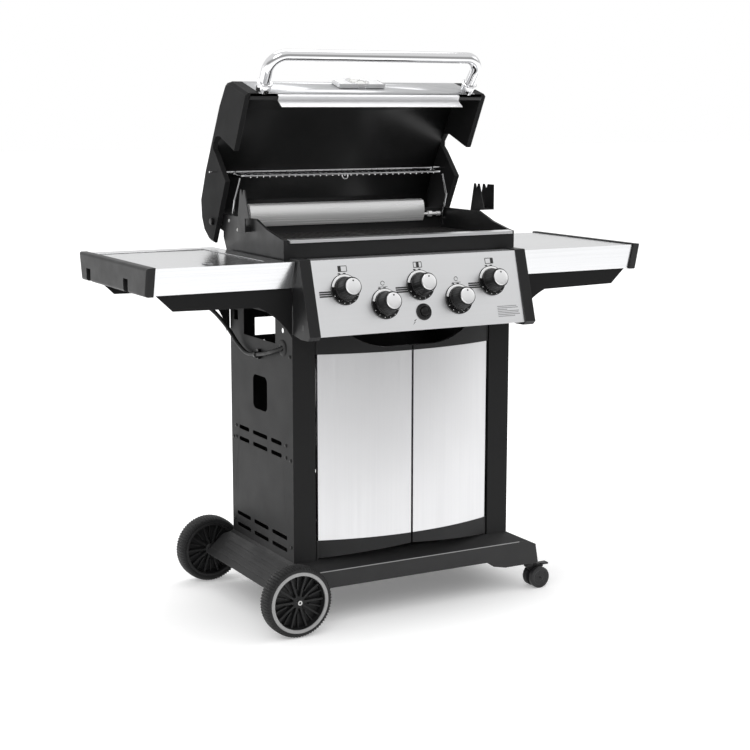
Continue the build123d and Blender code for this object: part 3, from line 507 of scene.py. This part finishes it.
# -------------------------------- caster rollers
ROLLER = [(0, 6.5), (9, 6.5), (11, 5), (19, 5), (21, 7), (25, 8.2), (28.6, 7.4), (30, 5.5), (30, -5.5),
          (28.6, -7.6), (25, -8.4), (0, -8.4)]
ROLLER_PIN = [(0, 23), (3.4, 23), (4, 22.2), (4, -22.2), (3.4, -23), (0, -23)]
ROLLER_OUT = 15.5
for where in ("front", "rear"):
    body = f"rollers_{where}"
    centre = Vector(JOINTS[f"caster_{where}_roll"]["pos_m"])
    pair = [(ROLLER, centre + BACKWARD * side * ROLLER_OUT * MM, BACKWARD * side) for side in (-1, 1)]
    lathe(f"caster_{where}_rollers", pair, body, "caster_grey", [f"caster_{where}_wheels"], 48)
    lathe(f"caster_{where}_pin", [(ROLLER_PIN, centre, BACKWARD)], body, "gloss_black", (), 24)

# -------------------------------- knobs, dials and marks on the control panel
GRIP = [(0, 7), (28.5, 7), (30.6, 7.6), (31, 9), (30.8, 11.2), (28.6, 13), (27.6, 17), (26.6, 26),
        (25.4, 37), (24.6, 43), (23.6, 45.4), (22.4, 46.2), (21.6, 45.2), (0, 45.2)]
CAP = [(0, 50.4), (10, 50.2), (16, 49.7), (19.8, 48.9), (20.9, 47.4), (21.2, 45.4), (21.2, 44.8), (0, 44.8)]
DOT = [(0, 50.6), (1.9, 50.5), (2.2, 50.2), (2.2, 49), (0, 49)]
DIAL_RING = [(31, 0.1), (31, 3.4), (32.5, 4.8), (37.4, 4.2), (38.8, 2.0), (39, 0.1)]
DIAL_OUTLINE = [(38.6, 0.1), (38.6, 2.6), (39, 2.9), (39.6, 2.4), (39.8, 0.1)]
DOT_UP = 14


def flutes(k, radius, height):
    """Grip: two steps in six are cut back, between its skirt and its rim."""
    return -0.45 if 15 < height < 44 and radius > 22.5 and k % 6 < 2 else 0.0


dial_rings, dial_arcs, dial_ticks, dial_outlines = [], [], [], []
for index, foot in enumerate(KNOBS, start=1):
    body = f"knob_{index}"
    lathe(f"{body}_grip", [(GRIP, foot, PANEL_OUT)], body, "knob_grey", [body], 144, False, flutes)
    lathe(f"{body}_cap", [(CAP, foot, PANEL_OUT)], body, "knob_silver", (), 64)
    lathe(f"{body}_dot", [(DOT, foot + UP_PANEL * DOT_UP * MM, PANEL_OUT)], body, "ink", (), 24)
    dial_rings.append((DIAL_RING, foot, PANEL_OUT))
    dial_outlines.append((DIAL_OUTLINE, foot, PANEL_OUT))
    arc_at, ticks_at = foot + PANEL_OUT * 4.1 * MM, foot + PANEL_OUT * 5.0 * MM
    dial_arcs.append((arc_band(31.4, 39.4, 168, 372, 30), arc_at, RIGHT, UP_PANEL, 1.0))
    for start in range(205, 331, 25):
        tick = arc_band(35.6, 37.4, start, start + 3, 2)
        dial_ticks.append((tick, ticks_at, RIGHT, UP_PANEL, 0.4))
lathe("dial_rings", dial_rings, "cart", "knob_silver", ["knob_bezels"], 72, True)
lathe("dial_outlines", dial_outlines, "cart", "ink", (), 72, True)
plates("dial_arcs", dial_arcs, "cart", "gloss_black")
plates("dial_ticks", dial_ticks, "cart", "white_mark")

BUTTON = [(0, 9.8), (5, 9.6), (8.8, 8.8), (11, 7.4), (11.9, 5), (11.9, -13), (0, -13)]
BUTTON_DOWN = 147
button_at = PANEL_TOP - UP_PANEL * BUTTON_DOWN * MM
lathe("igniter_cap", [(BUTTON, button_at, PANEL_OUT)], "igniter", "gloss_black", ["igniter_button"], 48)
COLLAR = [(13, 0.1), (13, 4), (14, 5), (19, 4.6), (21.4, 3), (22, 0.1)]
lathe("igniter_collar", [(COLLAR, button_at, PANEL_OUT)], "cart", "moulded", (), 48, True)


def on_panel(x, s):
    """A point of the panel's face: x from the middle, s down from its top."""
    return PANEL_TOP + (RIGHT * x - UP_PANEL * s + PANEL_OUT * 0.1) * MM


KNOB_PLACES = ((-218, 77), (-109, 119.5), (0, 77), (109, 119.5), (218, 77))
MARK_THICK, LINE_THICK = 0.25, 0.2
SYMBOL_UP = 53
GRILL_OUTLINE = ((24, 1.6, 0, 7), (24, 1.6, 0, -7), (1.6, 14, -12, 0), (1.6, 14, 12, 0))
SPARK = [(-6, -8), (1, -3), (0, 0), (7, 6), (-1, 3), (0, -1)]
TEXT_LEFT, TEXT_TOP, TEXT_PITCH = 224, 147, 4.4
TEXT_WIDTHS = (60, 64, 30, 66, 64, 68, 52)
dark_marks, grey_marks = [], []


def mark(marks, outline, place, thick=MARK_THICK):
    """Adds a flat mark to the marks, standing on the panel at the place."""
    marks.append((outline, place, RIGHT, UP_PANEL, thick))


for index, (x, s) in enumerate(KNOB_PLACES):
    symbol = on_panel(x, s - SYMBOL_UP)
    if index % 2 == 0:
        # a main burner: an outline with one third filled, and three bars left of the dial
        third = (8, 13, (-8, 0, 8)[index // 2], 0)
        for bar in (*GRILL_OUTLINE, third):
            mark(dark_marks, rectangle(*bar), symbol)
        for row in range(3):
            mark(dark_marks, rectangle(36, 4.0, -55, 40 - 5.6 * row), on_panel(x, s + 44))
    else:
        # the rear or side burner: an open ring over a line
        mark(dark_marks, arc_band(4.6, 6.0, 0, 330, 16), symbol)
        mark(grey_marks, rectangle(26, 1.5, 0, -9.5), symbol)
    for right in (-11, 4):
        mark(dark_marks, rectangle(7, 3.2, right, -12.5), symbol)
for row, width in enumerate(TEXT_WIDTHS):
    line = rectangle(width, 2.0, TEXT_LEFT + width / 2, -TEXT_TOP - TEXT_PITCH * row)
    mark(grey_marks, line, on_panel(0, 0), LINE_THICK)
mark(dark_marks, SPARK, on_panel(-30, 170))
plates("panel_marks", dark_marks, "cart", "ink")
plates("panel_lines", grey_marks, "cart", "ink_grey")

# -------------------------------- lid handle, nameplate, heat shield, thermometer
HANDLE_ROOT, HANDLE_END = (-405, 12), (-515, 9)
HANDLE_HALF, LEG_HALF, HANDLE_BEND = 316, 309, 56
root = lid(0, *HANDLE_ROOT)
reach = hypot(HANDLE_END[0] - HANDLE_ROOT[0], HANDLE_END[1] - HANDLE_ROOT[1])
reach_out = (lid(0, *HANDLE_END) - root).normalized()
tube = ((-LEG_HALF, 9), (-HANDLE_HALF, reach), (HANDLE_HALF, reach), (LEG_HALF, 9))
corners = [root + RIGHT * x * MM + reach_out * t * MM for x, t in tube]
rods("handle_tube", [rounded(corners, HANDLE_BEND, 20)], 15, "lid", "chrome", ["lid_handle"], 10)
SLEEVE = [(15.1, 0.5), (18.2, 0.5), (19, 2), (19, 23), (18.4, 24.4), (19.6, 25.2), (21.4, 25.6), (21.4, 28),
          (20, 29), (17, 29.4), (15.1, 29)]
sleeves = [(SLEEVE, root + RIGHT * side * LEG_HALF * MM, reach_out) for side in (-1, 1)]
lathe("handle_collars", sleeves, "lid", "chrome", ["handle_boots"], 48, True)

# a blank badge with an arched top, and the dial in its middle
DIAL_AT = (-385.5, 74)
dial_at = lid(0, *DIAL_AT) + FACE_OUT * 0.3 * MM
PLATE_HALF, PLATE_LOW, PLATE_HIGH, PLATE_THICK = 69.5, -32, 22, 10.6
ARCH_HALF, ARCH_RISE = 46, 8
LINE_WIDE = 1.4
plate = [(-PLATE_HALF, PLATE_HIGH - 6), (-PLATE_HALF, PLATE_LOW), (PLATE_HALF, PLATE_LOW),
         (PLATE_HALF, PLATE_HIGH - 6)]
arch = [(ARCH_HALF * cos(radians(a)), PLATE_HIGH + ARCH_RISE * sin(radians(a))) for a in range(0, 181, 15)]
plates("nameplate", [(plate + arch, dial_at, RIGHT, FACE_UP, PLATE_THICK)], "lid", "knob_silver", (), 1.2)
foot_line = [(-PLATE_HALF, PLATE_LOW), (PLATE_HALF, PLATE_LOW), (PLATE_HALF, PLATE_LOW + LINE_WIDE),
             (-PLATE_HALF, PLATE_LOW + LINE_WIDE)]
side_tall = PLATE_HIGH - PLATE_LOW - 12
side_lines = [rectangle(LINE_WIDE, side_tall, side * (PLATE_HALF - 1.8), -8) for side in (-1, 1)]
on_plate = dial_at + FACE_OUT * PLATE_THICK * MM
lines = [(line, on_plate, RIGHT, FACE_UP, 0.3) for line in (foot_line, *side_lines)]
plates("nameplate_lines", lines, "lid", "ink_grey")

# sheet steel over the liner's heat shield, with a rolled lower edge whose near-white colour is a painted
# highlight; points are (u, v) on the lid
SHIELD = [(-407.3, -4.6), (-406.3, -13.5), (-394.2, -15.0), (-393.1, -41.2)]
SHIELD_HALF = 273.4
shield_slabs = []
for (u0, v0), (u1, v1) in zip(SHIELD, SHIELD[1:]):
    start, end = lid(0, u0, v0), lid(0, u1, v1)
    along = (end - start).normalized()
    length = (end - start).length / MM
    sheet = [(-SHIELD_HALF, 0), (SHIELD_HALF, 0), (SHIELD_HALF, length), (-SHIELD_HALF, length)]
    shield_slabs.append((sheet, start, RIGHT, along, 0.5))
plates("heat_shield", shield_slabs, "lid", "shield_steel")
rods("heat_shield_hem", [[lid(-273, -392.2, -41.4), lid(273, -392.2, -41.4)]], 0.9, "lid", "painted_glare_steel")

DIAL_RIM = [(27, 1), (27, 11), (28, 11.6), (31, 11.9), (33.4, 11.2), (34, 8), (34, 0), (27, 0)]
DIAL_FACE = [(0, 11.0), (27.2, 11.0), (27.2, 2), (0, 2)]
DIAL_STEM = [(0, -59), (2, -58), (3.8, -55), (4, -1), (0, -1)]
DIAL_HAND = [(-3, -2.4), (15.5, 13.2), (16, 14.4), (14.6, 14), (-2.4, -3)]
lathe("thermometer_rim", [(DIAL_RIM, dial_at, FACE_OUT)], "lid", "chrome", ["thermometer"], 72, True)
lathe("thermometer_face", [(DIAL_FACE, dial_at, FACE_OUT)], "lid", "dial_face", (), 64)
lathe("thermometer_stem", [(DIAL_STEM, dial_at, FACE_OUT)], "lid", "zinc", (), 32)
on_face = dial_at + FACE_OUT * 11.0 * MM
ticks = [(arc_band(21, 24.5, a, a + 3, 2), on_face, RIGHT, FACE_UP, 0.3) for a in range(-40, 221, 26)]
ticks.append((DIAL_HAND, dial_at + FACE_OUT * 11.2 * MM, RIGHT, FACE_UP, 0.5))
plates("thermometer_ticks", ticks, "lid", "ink")
hot = arc_band(17.5, 19.8, -40, 60, 14)
plates("thermometer_hot", [(hot, on_face, RIGHT, FACE_UP, 0.3)], "lid", "ink_grey")

# -------------------------------- warming rack and its legs
BACK_ROD, FRONT_ROD, RACK_DEPTH, RACK_HALF = (190, 1154), (141, 1144), 104, 310


def rack(x, back, up=0.0):
    """A point of the rack, back from its front rod and up from it."""
    return at(x, FRONT_ROD[0] + back, FRONT_ROD[1] + up)


frame_ends = ((-RACK_HALF, 60), (-RACK_HALF, RACK_DEPTH), (RACK_HALF, RACK_DEPTH), (RACK_HALF, 0),
              (-RACK_HALF, 0), (-RACK_HALF, 60))
frame_wire = [rack(x, back) for x, back in frame_ends]
pivot_rod = [at(-383.5, *BACK_ROD), at(383.5, *BACK_ROD)]
hangers = [[rack(x, 38, 0), rack(x, 49, 13), rack(x, 60, 0)] for x in (-RACK_HALF, RACK_HALF)]
frame_paths = [rounded(frame_wire, 9, 6), pivot_rod] + [rounded(hanger, 4, 6) for hanger in hangers]
rods("rack_frame", frame_paths, 2.6, "rack", "chrome", ["warming_rack"], 4)
WIRE_BEND = ((-1, -4.5), (0, -2), (2, 1.4), (RACK_DEPTH, 1.4))
wires = [[rack(x, back, up) for back, up in WIRE_BEND] for x in range(-285, 286, 19)]
hook = [rack(-9, 0, -2), rack(-8, -2, -10), rack(0, -3, -15), rack(8, -2, -10), rack(9, 0, -2)]
wire_paths = [rounded(wire, 3, 3) for wire in wires] + [rounded(hook, 8, 5)]
rods("rack_wires", wire_paths, 1.6, "rack", "chrome", (), 3)
legs = []
for side in (-1, 1):
    legs.append([at(side * 316, 142, 1138), at(side * 331, 146, 1080), at(side * 331, 169, 1010),
                 at(side * 336.4, 169.1, 1010)])
rods("rack_leg_wires", [rounded(leg, 7, 6) for leg in legs], 2.6, "legs", "chrome", ["rack_legs"], 4)

# -------------------------------- rear burner and its gas fitting
FITTING = [(0, 0), (4, 0), (4, 16), (8.5, 16), (9, 17), (9, 27), (8.5, 28), (5, 28), (5, 44), (7, 45),
           (7, 56), (0, 56)]
# the fitting takes the same near-white colour, a painted reflection
lathe("rear_burner_fitting", [(FITTING, at(270, 173, 1023), RIGHT)], "cart", "painted_glare_steel", (), 6, edge=0.3)

# -------------------------------- grommet of the hose, slots of the cheeks
GROMMET = [(6.2, -1.8), (18.8, -1.8), (18.8, 0.1), (21, 0.2), (21.4, 1.0), (20.6, 1.6), (8.4, 2.4),
           (6.4, 1.6)]
lathe("hose_grommet", [(GROMMET, at(-HALF_W, -138, 718), -RIGHT)], "cart", "powder", (), 48, True)
SLOT = [(-3, -7), (3, -7), (4, -5), (4, 5), (3, 7), (-3, 7), (-4, 5), (-4, -5)]
slots = [(SLOT, at(side * 334.6, -272, 786), BACKWARD, UPWARD, side * 0.5) for side in (-1, 1)]
plates("cheek_slots", slots, "cart", "ink")

# -------------------------------- the rear gussets lap behind the cabinet's corners
laps = [(rectangle(10, 124), at(side * 331, 202, 790), RIGHT, UPWARD, 2.0) for side in (-1, 1)]
plates("gusset_laps", laps, "cart", "powder")

# -------------------------------- screws and bolts
PAN_HEAD = [(0, 2.4), (1.4, 2.4), (1.6, 1.2), (1.9, 2.4), (3.6, 2.1), (4.8, 1.1), (5, 0), (0, 0)]
HINGE_BOLT = [(0, 8), (5, 8), (8, 7.6), (9.4, 6), (9.8, 1), (9.8, 0.2), (0, 0.2)]
# places are (y, z) on both sides; x is how far out the heads stand
SCREWS = (
    ("panel_screws", PAN_HEAD, HALF_W, [(y, z) for y in (-180, 176) for z in (200, 430, 700)],
     "gloss_black", ["fasteners"], 24),
    ("hinge_bolts", HINGE_BOLT, 363.8, [(218, 1020)], "gloss_black", (), 32),
    ("box_screws", PAN_HEAD, 345, [(95, 1005), (150, 1026)], "zinc", (), 20),
    ("vent_screws", PAN_HEAD, HALF_W, [(y, z) for y in (160, -152) for z in (465, 433)],
     "gloss_black", (), 20),
)
for name, head, x, places, material, replaces, steps in SCREWS:
    heads = [(head, at(side * x, y, z), RIGHT * side) for side in (-1, 1) for y, z in places]
    lathe(name, heads, "cart", material, replaces, steps)

# -------------------------------- base tray: ribs on its sloping end, and a grey rod along its front edge as a painted highlight
SLOPE_TOP, SLOPE_FOOT = (-328, 151), (-393, 94)
RIB_WIDE, RIB_DEEP = 11, -1.8
down = Vector((SLOPE_FOOT[0] - SLOPE_TOP[0], 0, SLOPE_FOOT[1] - SLOPE_TOP[1])).normalized()
slope_top = at(SLOPE_TOP[0], 0, SLOPE_TOP[1])
ribs = []
for start in (12, 34, 56):
    outline = [(start, -185), (start + RIB_WIDE, -178), (start + RIB_WIDE, 178), (start, 185)]
    ribs.append((outline, slope_top, down, BACKWARD, RIB_DEEP))
plates("tray_ribs", ribs, "cart", "tray", (), 0.8)
# a thin grey rod along the tray's front top edge: a painted highlight
rods("tray_painted_highlight", [[at(-312, -234.4, 139.6), at(345, -234.4, 139.6)]], 1.2, "cart", "ring_grey")

# -------------------------------- floor, light and camera
# the floor's glow away from the grill, and its lower glow under the grill, which is painted shade
FLOOR_GLOW, SHADOW_GLOW = 0.50, 0.16
SKY_LOW, SKY_HIGH = 0.34, 0.86
floor_mesh = bpy.data.meshes.new("floor")
floor_form = bmesh.new()
bmesh.ops.create_grid(floor_form, x_segments=4, y_segments=4, size=40)
floor_form.to_mesh(floor_mesh)
floor_form.free()
floor = bpy.data.objects.new("floor", floor_mesh)
bpy.context.scene.collection.objects.link(floor)
# the floor glows white round the grill, less under it as painted shade, and falls off far in front
paint = finish("floor_paint", (0.90, 0.90, 0.90), 0.90, vary=0.005, cloud=0.5, bump=0.0, shine=0.1)
tree = paint.node_tree
shader = tree.nodes["Principled BSDF"]
place = tree.nodes.new("ShaderNodeTexCoord")
split = tree.nodes.new("ShaderNodeSeparateXYZ")
tree.links.new(place.outputs["Object"], split.inputs["Vector"])
squash = tree.nodes.new("ShaderNodeMapping")
squash.inputs["Scale"].default_value = (1.0, 1.5, 0.0)
tree.links.new(place.outputs["Object"], squash.inputs["Vector"])
far = tree.nodes.new("ShaderNodeVectorMath")
far.operation = "LENGTH"
tree.links.new(squash.outputs["Vector"], far.inputs[0])
near = ranged(tree, split.outputs["Y"], 0.0, 1.0, -3.8, -1.5)
glow = tree.nodes.new("ShaderNodeMath")
glow.operation = "MULTIPLY"
tree.links.new(near, glow.inputs[0])
tree.links.new(ranged(tree, far.outputs["Value"], SHADOW_GLOW, FLOOR_GLOW, 0.30, 1.05), glow.inputs[1])
shader.inputs["Emission Color"].default_value = (1, 1, 1, 1)
tree.links.new(glow.outputs["Value"], shader.inputs["Emission Strength"])
tree.links.new(mixed(tree, near, (0.40, 0.40, 0.40), (0.90, 0.90, 0.90)), shader.inputs["Base Color"])
floor_mesh.materials.append(paint)

scene = bpy.context.scene
scene.view_settings.view_transform = "Standard"
world = bpy.data.worlds.new("studio")
world.use_nodes = True
sky = world.node_tree.nodes["Background"]
sky.inputs["Color"].default_value = (1.0, 1.0, 1.0, 1)
# the studio is bright overhead and behind the grill and dim low down in front of it; it shows plain white
tree = world.node_tree
place = tree.nodes.new("ShaderNodeTexCoord")
split = tree.nodes.new("ShaderNodeSeparateXYZ")
tree.links.new(place.outputs["Generated"], split.inputs["Vector"])
dome = ranged(tree, split.outputs["Z"], SKY_LOW, SKY_HIGH, 0.02, 0.42)
backdrop = tree.nodes.new("ShaderNodeMapRange")
backdrop.inputs["From Min"].default_value, backdrop.inputs["From Max"].default_value = -0.1, 0.35
backdrop.inputs["To Max"].default_value = SKY_HIGH
tree.links.new(split.outputs["Y"], backdrop.inputs["Value"])
tree.links.new(dome, backdrop.inputs["To Min"])
ray = tree.nodes.new("ShaderNodeLightPath")
level = tree.nodes.new("ShaderNodeMapRange")
level.inputs["To Max"].default_value = 1.0
tree.links.new(ray.outputs["Is Camera Ray"], level.inputs["Value"])
tree.links.new(backdrop.outputs["Result"], level.inputs["To Min"])
tree.links.new(level.outputs["Result"], sky.inputs["Strength"])
scene.world = world


def soft_light(name, place, target, size, power):
    data = bpy.data.lights.new(name, "AREA")
    data.shape = "RECTANGLE"
    data.size, data.size_y = size
    data.energy = power
    light = bpy.data.objects.new(name, data)
    light.location = place
    light.rotation_euler = (Vector(target) - Vector(place)).to_track_quat("-Z", "Y").to_euler()
    scene.collection.objects.link(light)


soft_light("key", (-2.2, -3.2, 3.2), (0, 0, 0.7), (2.4, 2.4), 34)
soft_light("fill", (4.2, -1.4, 2.4), (0, 0, 0.7), (2.5, 2.0), 12)
soft_light("top", (0.2, 0.6, 4.0), (0, 0, 0.8), (3.0, 2.0), 40)
soft_light("rim", (-3.6, 3.4, 1.2), (-0.3, 0, 0.6), (1.6, 2.2), 5)

CAMERA_AT = (-2067.56, -3786.31, 1334.44)
CAMERA_AZIMUTH, CAMERA_DOWN, CAMERA_ROLL = -28.84, 9.65, -0.05
lens = bpy.data.cameras.new("camera")
lens.sensor_width = 36.0
lens.lens = 76.58
camera = bpy.data.objects.new("camera", lens)
camera.location = at(*CAMERA_AT)
camera.rotation_euler = (radians(90 - CAMERA_DOWN), radians(CAMERA_ROLL), radians(CAMERA_AZIMUTH))
scene.collection.objects.link(camera)
scene.camera = camera
